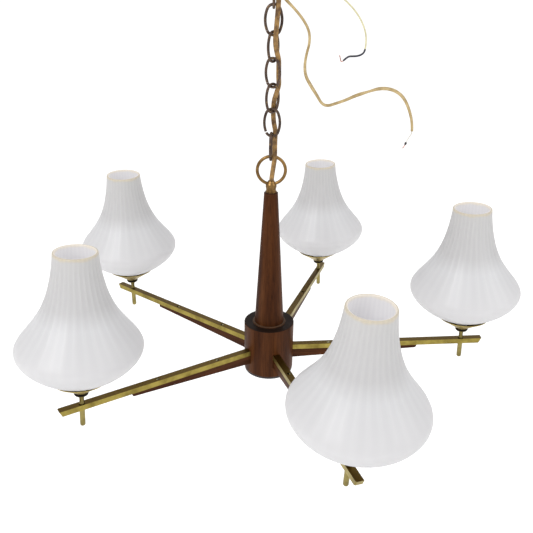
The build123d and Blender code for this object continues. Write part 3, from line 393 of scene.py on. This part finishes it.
def frosted_glass():
    """White ribbed glass that lets light through, with a painted glow on its inner side."""
    material, tree, shader = new_material("frosted_glass")
    source = add(tree, "ShaderNodeTexCoord").outputs["Object"]
    colour = glass_colour(tree, source)
    tree.links.new(colour, shader.inputs["Base Color"])
    shader.inputs["Roughness"].default_value = 0.38
    shader.inputs["Subsurface Weight"].default_value = 0.2
    shader.inputs["Subsurface Radius"].default_value = (0.010, 0.010, 0.010)
    shader.inputs["Subsurface Scale"].default_value = 0.6
    shader.inputs["Coat Weight"].default_value = 0.1
    shader.inputs["Coat Roughness"].default_value = 0.3
    bump(tree, shader, noise(tree, source, 1500.0, 2.0, 0.6), 0.15, 0.1 * MM)
    through = add(tree, "ShaderNodeBsdfTranslucent", [("Color", colour)]).outputs[0]
    both = add(tree, "ShaderNodeMixShader", [(0, GLASS_GLOW), (1, shader.outputs[0]), (2, through)])
    glass_with_painted_glow = add(tree, "ShaderNodeAddShader", [(0, both.outputs[0]), (1, painted_inner_glow(tree))]).outputs[0]
    tree.links.new(glass_with_painted_glow, tree.nodes["Material Output"].inputs["Surface"])
    return material


# ---------------------------------------------------------------- mesh helpers
def new_piece(name, vertices, faces, material):
    """A smooth-shaded mesh object with the given material."""
    mesh = bpy.data.meshes.new(name)
    mesh.from_pydata(vertices, [], faces)
    mesh.validate()
    mesh.shade_smooth()
    mesh.materials.append(material)
    piece = bpy.data.objects.new(name, mesh)
    bpy.context.scene.collection.objects.link(piece)
    return piece


def smooth_run(points, steps):
    """A smooth curve through the points, as an array with that many steps a run."""
    knots = np.array([points[0], *points, points[-1]], float)
    run = []
    for before, start, end, after in zip(knots, knots[1:], knots[2:], knots[3:]):
        for step in range(steps):
            t = step / steps
            bend = (2 * before - 5 * start + 4 * end - after) * t**2
            turn = (3 * start - before - 3 * end + after) * t**3
            run.append(0.5 * (2 * start + (end - before) * t + bend + turn))
    run.append(knots[-1])
    return np.array(run)


def moved_in(outline, wall):
    """The outline moved towards its axis by the wall, square to itself at each point."""
    along = np.gradient(outline, axis=0)
    along /= np.linalg.norm(along, axis=1)[:, None]
    return outline + wall * np.stack([-along[:, 1], along[:, 0]], 1)


def bridged(rows, columns, closed_rows=False):
    """Quads over a grid of vertices whose rows are closed rings."""
    faces = []
    for row in range(rows if closed_rows else rows - 1):
        following = (row + 1) % rows
        for column in range(columns):
            beside = (column + 1) % columns
            faces.append((row * columns + column, row * columns + beside,
                          following * columns + beside, following * columns + column))
    return faces


# ---------------------------------------------------------------- glasses
def glass_mesh():
    """Bell with raised ribs outside, as vertices and faces in its own frame, axis on Z."""
    top = (GLASS_RIM[0], GLASS_RIM[1] - GLASS_RIM_ROUND)
    outer = smooth_run([GLASS_FOOT, *GLASS_BELL, top], OUTLINE_STEPS)
    inner = moved_in(outer, GLASS_WALL)
    inner = inner[inner[:, 1] > GLASS_WALL + FLOOR_CORNER]
    rim_turn = np.linspace(0, math.pi, RIM_STEPS + 1)[1:-1]
    rim_middle = (outer[-1] + inner[-1]) / 2
    rim_half = (outer[-1, 0] - inner[-1, 0]) / 2
    rim = np.stack([rim_middle[0] + rim_half * np.cos(rim_turn),
                    GLASS_RIM[1] - GLASS_RIM_ROUND * (1 - np.sin(rim_turn))], 1)
    floor_edge = GLASS_FOOT[0] - FLOOR_INSET
    floor = np.array([(floor_edge, GLASS_WALL), (GLASS_HOLE, GLASS_WALL), (GLASS_HOLE, 0.0)])
    outline = np.concatenate([outer, rim, inner[::-1], floor])
    ribbed = np.zeros(len(outline))
    plain = [GLASS_RIM[1] + below for below in RIM_PLAIN]
    ribbed[: len(outer)] = np.interp(outer[:, 1], [*RIBS_FADE, *plain], [0, 1, 1, 0])
    columns = RIB_COUNT * RIB_STEPS
    turns = np.arange(columns) * 2 * math.pi / columns
    hollow = 1 - (0.5 + 0.5 * np.cos(RIB_COUNT * turns)) ** RIB_SHARPNESS
    radius = outline[:, :1] - RIB_DEPTH * ribbed[:, None] * hollow[None, :]
    height = np.repeat(outline[:, 1:], columns, axis=1)
    vertices = np.stack([radius * np.cos(turns), radius * np.sin(turns), height], 2).reshape(-1, 3) * MM
    return vertices.tolist(), bridged(len(outline), columns, closed_rows=True)


def glass_place(number):
    """Where a glass stands: its foot on its own axis, square to the lampholder below it."""
    mount = next(m for m in frame["record"]["mounts"] if m["name"] == f"lamp_socket_{number}")
    axis = Vector(mount["axis"]).normalized()
    mesh = frame["nodes"][f"shade_{number}"].data
    area = sum(face.area for face in mesh.polygons)
    middle = sum((face.center * face.area for face in mesh.polygons), Vector()) / area
    foot = min(vertex.co.dot(axis) for vertex in mesh.vertices)
    turn = Vector((0, 0, 1)).rotation_difference(axis)
    return Matrix.LocRotScale(middle + axis * (foot - middle.dot(axis)), turn, None)


def make_glasses():
    """One ribbed glass on each lamp; all five share a mesh."""
    material = frosted_glass()
    vertices, faces = glass_mesh()
    first = new_piece("ribbed_glass_1", vertices, faces, material)
    for number in range(1, ARM_COUNT + 1):
        glass = first
        if number > 1:
            glass = bpy.data.objects.new(f"ribbed_glass_{number}", first.data)
            bpy.context.scene.collection.objects.link(glass)
        glass.matrix_world = glass_place(number)
        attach(glass, "fixture")
        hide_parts(f"shade_{number}")


# ---------------------------------------------------------------- cords
def route_points(route):
    """A route's points in the frame, in metres."""
    return [Vector((x * MM, y * MM, BARS_TOP + height * MM)) for x, y, height in route]


def spline_object(name, route, bevel=0.0):
    """A NURBS curve with the route's points as its control points."""
    curve = bpy.data.curves.new(name, "CURVE")
    curve.dimensions = "3D"
    curve.bevel_depth = bevel
    curve.bevel_resolution = 4
    curve.use_fill_caps = True
    spline = curve.splines.new("NURBS")
    spline.points.add(len(route) - 1)
    for point, where in zip(spline.points, route_points(route)):
        point.co = (*where, 1)
    spline.order_u = 3
    spline.use_endpoint_u = True
    spline.resolution_u = 8
    return bpy.data.objects.new(name, curve)


def centreline(route):
    """Points along the route's smooth line."""
    guide = spline_object("guide", route)
    bpy.context.scene.collection.objects.link(guide)
    bpy.context.view_layer.update()
    line = bpy.data.meshes.new_from_object(guide)
    points = [vertex.co.copy() for vertex in line.vertices]
    bpy.data.objects.remove(guide)
    bpy.data.meshes.remove(line)
    return points


def frames_along(points, across):
    """(point, across, through) at each point, turned no more than the line turns."""
    found = []
    for index, point in enumerate(points):
        tangent = (points[min(index + 1, len(points) - 1)] - points[max(index - 1, 0)]).normalized()
        across = (across - tangent * across.dot(tangent)).normalized()
        found.append((point, across, tangent.cross(across)))
    return found


def twin_section():
    """Outline of the flat flex: two round wires side by side, in millimetres."""
    wire = FLEX_THICKNESS / 2
    apart = FLEX_WIDTH / 2 - wire
    turns = np.radians(np.linspace(-FLEX_GROOVE_TURN, FLEX_GROOVE_TURN, FLEX_SIDE_POINTS))
    right = [(apart + wire * math.cos(t), wire * math.sin(t)) for t in turns]
    return right + [(-x, -y) for x, y in right]


def swept(name, stations, section, material, twists=None):
    """A closed tube with that section at each station, twisted about its middle if asked."""
    vertices = []
    for index, (point, across, through) in enumerate(stations):
        twist = twists[index] if twists is not None else 0.0
        for x, y in section:
            u = (x * math.cos(twist) - y * math.sin(twist)) * MM
            v = (x * math.sin(twist) + y * math.cos(twist)) * MM
            vertices.append(point + across * u + through * v)
    count = len(section)
    faces = bridged(len(stations), count)
    faces.append(tuple(reversed(range(count))))
    faces.append(tuple(range(len(vertices) - count, len(vertices))))
    return new_piece(name, vertices, faces, material)


def make_flex_in_chain(material):
    """The woven flex, cut into a piece for each chain joint, each piece spanning its own joint."""
    stations = frames_along(centreline(FLEX_ROUTE), Vector((1, 0, 0)))
    joints = sorted(frame["joints"], key=lambda joint: joint["pos_m"][2])
    heights = [joint["pos_m"][2] for joint in joints]
    first = 0
    for number, joint in enumerate(joints, start=1):
        last = len(stations) - 1
        if number < len(joints):
            cut = (heights[number - 1] + heights[number]) / 2
            last = next(i for i, (point, _, _) in enumerate(stations) if point.z > cut)
        part = stations[first: last + 1]
        piece = swept(f"woven_flex_{number}", part, twin_section(), material)
        if number == 1:
            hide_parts("flex_in_chain")
        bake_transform(piece)
        first = last


def cord_length(points):
    """Length along the points."""
    return sum((b - a).length for a, b in zip(points, points[1:]))


def make_tail(material):
    """The flex's free end, which stands in the air as it was bent and twisted."""
    points = centreline(TAIL_ROUTE)
    stations = frames_along(points, Vector((-1, 0, 0)))
    shares = np.linspace(0, 1, len(stations))
    twists = np.radians(np.interp(shares, *zip(*TAIL_TWIST)))
    tail = swept("free_flex", stations, twin_section(), material, twists)
    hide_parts("flex_tail")
    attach(tail, "ceiling")


def round_cord(name, route, radius, material, node):
    """A round cord or sleeve as a thick NURBS curve."""
    piece = spline_object(name, route, radius * MM)
    bpy.context.scene.collection.objects.link(piece)
    piece.data.materials.append(material)
    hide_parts(node)
    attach(piece, "ceiling")
    return piece


def circle(radius, sides):
    """Points round a circle."""
    return [(radius * math.cos(t), radius * math.sin(t)) for t in np.arange(sides) * 2 * math.pi / sides]


def strands(name, route, material, node):
    """Bare copper strands that fan out a little towards their ends."""
    stations = frames_along(centreline(route), Vector((0, 1, 0)))
    ring = circle(STRAND_RADIUS, STRAND_SIDES)
    start_circle, end_circle = STRAND_SPREAD
    vertices, faces = [], []
    for number in range(STRAND_COUNT):
        turn = 2 * math.pi * number / STRAND_COUNT
        start = len(vertices)
        for index, (point, across, through) in enumerate(stations):
            share = index / len(stations)
            out = STRAND_CIRCLE * (start_circle + (end_circle - start_circle) * share)
            lay = turn + STRAND_LAY * share
            for x, y in ring:
                u = (x + out * math.cos(lay)) * MM
                v = (y + out * math.sin(lay)) * MM
                vertices.append(point + across * u + through * v)
        for face in bridged(len(stations), len(ring)):
            faces.append(tuple(start + corner for corner in face))
        faces.append(tuple(start + corner for corner in reversed(range(len(ring)))))
        faces.append(tuple(range(len(vertices) - len(ring), len(vertices))))
    piece = new_piece(name, vertices, faces, material)
    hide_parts(node)
    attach(piece, "ceiling")
    return piece


def tape_bead(material):
    """A few turns of insulating tape over the joint between the core and its strands."""
    stations = frames_along(centreline(TAPE_ROUTE), Vector((0, 1, 0)))
    start, end = stations[0][0], stations[-1][0]
    _, across, through = stations[0]
    vertices = []
    for share, width in TAPE_SHAPE:
        for turn in np.arange(TAPE_SIDES) * 2 * math.pi / TAPE_SIDES:
            oval = (1 + TAPE_OVAL * math.cos(2 * turn)) / (1 + TAPE_OVAL)
            radius = width * TAPE_RADIUS * oval * MM
            vertices.append(start.lerp(end, share) + across * radius * math.cos(turn)
                            + through * radius * math.sin(turn))
    faces = bridged(len(TAPE_SHAPE), TAPE_SIDES)
    faces.append(tuple(reversed(range(TAPE_SIDES))))
    faces.append(tuple(range(len(vertices) - TAPE_SIDES, len(vertices))))
    piece = new_piece("tape_bead", vertices, faces, material)
    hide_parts("tape_wrap")
    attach(piece, "ceiling")
    return piece


def make_cords():
    """The woven flex, its tail, the second lead and what is on their ends."""
    chain_flex = soft_plastic("chain_flex", (0.34, 0.195, 0.062), (0.095, 0.048, 0.018), 0.34, 130.0, 0.3)
    free_flex = soft_plastic("free_flex", (0.50, 0.38, 0.19), (0.30, 0.21, 0.09), 0.40, 110.0, 0.3)
    core_white = soft_plastic("core_white", (0.72, 0.70, 0.66), (0.55, 0.52, 0.47), 0.5)
    black_tape = soft_plastic("black_tape", (0.025, 0.022, 0.022), (0.012, 0.010, 0.010), 0.38)
    pale_lead = soft_plastic("pale_lead", (0.62, 0.58, 0.36), (0.47, 0.43, 0.25), 0.45)
    dark_sleeve = soft_plastic("dark_sleeve", (0.018, 0.018, 0.035), (0.008, 0.008, 0.014), 0.4)
    copper = plain_metal("copper", (0.62, 0.24, 0.16), 1.0, 0.35)
    make_flex_in_chain(chain_flex)
    core = round_cord("bare_core", CORE_ROUTE, CORE_RADIUS, core_white, "flex_core")
    tape = tape_bead(black_tape)
    core_strands = strands("core_strands", STRANDS_ROUTE, copper, "flex_strands")
    make_tail(free_flex)
    sleeve = round_cord("lead_sleeve", SLEEVE_ROUTE, SLEEVE_RADIUS, dark_sleeve,
                        "earth_sleeve")
    lead = round_cord("second_lead", EARTH_ROUTE, EARTH_RADIUS, pale_lead, "earth_lead")
    lead_strands = strands("lead_strands", BENT_STRANDS_ROUTE, copper, "earth_strands")
    cord_length(centreline(EARTH_ROUTE))
    dress("lamp_leads", pale_lead)
    dress("taped_splice", black_tape)


# ---------------------------------------------------------------- the frame's own nodes
def arm_turn(number):
    """An arm's turn about the hub, from where its glass stands."""
    low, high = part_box(f"shade_{number}")
    middle = (low + high) / 2
    return math.atan2(middle.y, middle.x)


def dress_arms(saucer):
    """Bars, fins, saucers and lampholders."""
    lampholder = soft_plastic("lampholder", (0.82, 0.79, 0.72), (0.74, 0.70, 0.62), 0.35)
    for number in range(1, ARM_COUNT + 1):
        turn = arm_turn(number)
        dress(f"arm_fin_{number}", walnut(f"walnut_fin_{number}", "level", turn))
        # the bars' third colour, darker, is painted shade on their top faces
        dress(f"arm_bar_{number}", brass(f"bar_brass_{number}", (0.31, 0.245, 0.060), (0.18, 0.135, 0.030),
                                         (0.122, 0.074, 0.011), 0.32, turn, (0.03, 1, 1)))
        dress(f"dish_{number}", saucer)
        dress(f"socket_{number}", lampholder)


def dress_frame():
    """A material for every node that shows, and for those inside."""
    dress("hub", walnut("walnut_hub", "upright", seat_radius=HUB_SEAT_RADIUS))
    dress("column", walnut("walnut_column", "upright"))
    spun = brass("spun_brass", (0.255, 0.208, 0.074), (0.125, 0.096, 0.032), roughness=0.28)
    # painted light: the saucers get a lighter copy of the spun brass, standing in for the light they catch from
    # below
    saucer = brass("saucer_brass", (0.39, 0.300, 0.098), (0.22, 0.165, 0.052), roughness=0.36)
    dress_arms(saucer)
    for node in ("lamp_stems", "finials", "cone_nuts", "shade_rings"):
        dress(node, spun)
    rubber = soft_plastic("black_rubber", (0.010, 0.007, 0.004), (0.005, 0.003, 0.002), 0.6, specular=0.05)
    dress("gaskets", rubber)
    cast = brass("cast_brass", (0.285, 0.165, 0.058), (0.085, 0.045, 0.017), roughness=0.28)
    dress("suspension_loop", cast)
    dress("loop_washer", cast)
    links = chain_steel()
    for node in frame["nodes"]:
        if node.startswith("chain_link"):
            dress(node, links)
    dress("ceiling_hook", plain_metal("hook_steel", (0.10, 0.07, 0.065), 0.6, 0.4))
    dress("hub_cap", plain_metal("dark_disc", (0.030, 0.022, 0.022), 0.4, 0.4))
    steel = plain_metal("plain_steel", (0.55, 0.55, 0.55), 1.0, 0.3)
    for node in ("centre_rod", "rod_nut", "arm_plate"):
        dress(node, steel)
    # painted shade: the screws are coloured near-black for the recessed holes they sit in
    recess_shaded_screw_metal = plain_metal("screw_brass", (0.050, 0.034, 0.018), 0.6, 0.5)
    for node in ("cap_screws", "plate_screws", "fin_screws"):
        dress(node, recess_shaded_screw_metal)


# ---------------------------------------------------------------- studio
def make_stage():
    """Pale floor well below the light, soft white surroundings and two large soft lights."""
    material, tree, shader = new_material("studio_white")
    shader.inputs["Base Color"].default_value = (0.92, 0.92, 0.92, 1)
    shader.inputs["Roughness"].default_value = 0.9
    shader.inputs["Emission Color"].default_value = (1, 1, 1, 1)
    shader.inputs["Emission Strength"].default_value = 0.3
    bpy.ops.mesh.primitive_plane_add(size=FLOOR_SIZE, location=(0, 0, cad_low.z - FLOOR_DROP))
    floor = bpy.context.object
    floor.name = "floor"
    floor.data.materials.append(material)

    world = bpy.data.worlds.new("studio")
    world.use_nodes = True
    world.node_tree.nodes["Background"].inputs["Color"].default_value = (1, 1, 1, 1)
    world.node_tree.nodes["Background"].inputs["Strength"].default_value = 0.85
    bpy.context.scene.world = world

    aim = Vector((0, 0, cad_low.z + LIT_HEIGHT))
    for name, where, size, energy in LIGHTS:
        light = bpy.data.lights.new(name, "AREA")
        light.size = size
        light.energy = energy
        lamp = bpy.data.objects.new(name, light)
        lamp.location = where
        lamp.rotation_euler = (aim - lamp.location).to_track_quat("-Z", "Y").to_euler()
        bpy.context.scene.collection.objects.link(lamp)


def make_camera():
    """In front of the light and above its arms, looking down at the hub."""
    level_ahead = Vector((math.sin(CAMERA_YAW), math.cos(CAMERA_YAW), 0))
    ahead = level_ahead * math.cos(CAMERA_PITCH) + Vector((0, 0, math.sin(CAMERA_PITCH)))
    level_right = Vector((math.cos(CAMERA_YAW), -math.sin(CAMERA_YAW), 0))
    level_up = level_right.cross(ahead)
    right = level_right * math.cos(CAMERA_ROLL) + level_up * math.sin(CAMERA_ROLL)
    up = level_up * math.cos(CAMERA_ROLL) - level_right * math.sin(CAMERA_ROLL)
    data = bpy.data.cameras.new("camera")
    data.lens = CAMERA_LENS
    data.clip_start = 0.01
    camera = bpy.data.objects.new("camera", data)
    turn = Matrix((right, up, -ahead)).transposed().to_4x4()
    camera.matrix_world = Matrix.Translation((CAMERA_X, CAMERA_Y, BARS_TOP + CAMERA_ABOVE_BARS)) @ turn
    bpy.context.scene.collection.objects.link(camera)
    bpy.context.scene.camera = camera
    bpy.context.scene.view_settings.view_transform = "Standard"


make_camera()
make_cords()
make_glasses()
dress_frame()
make_stage()
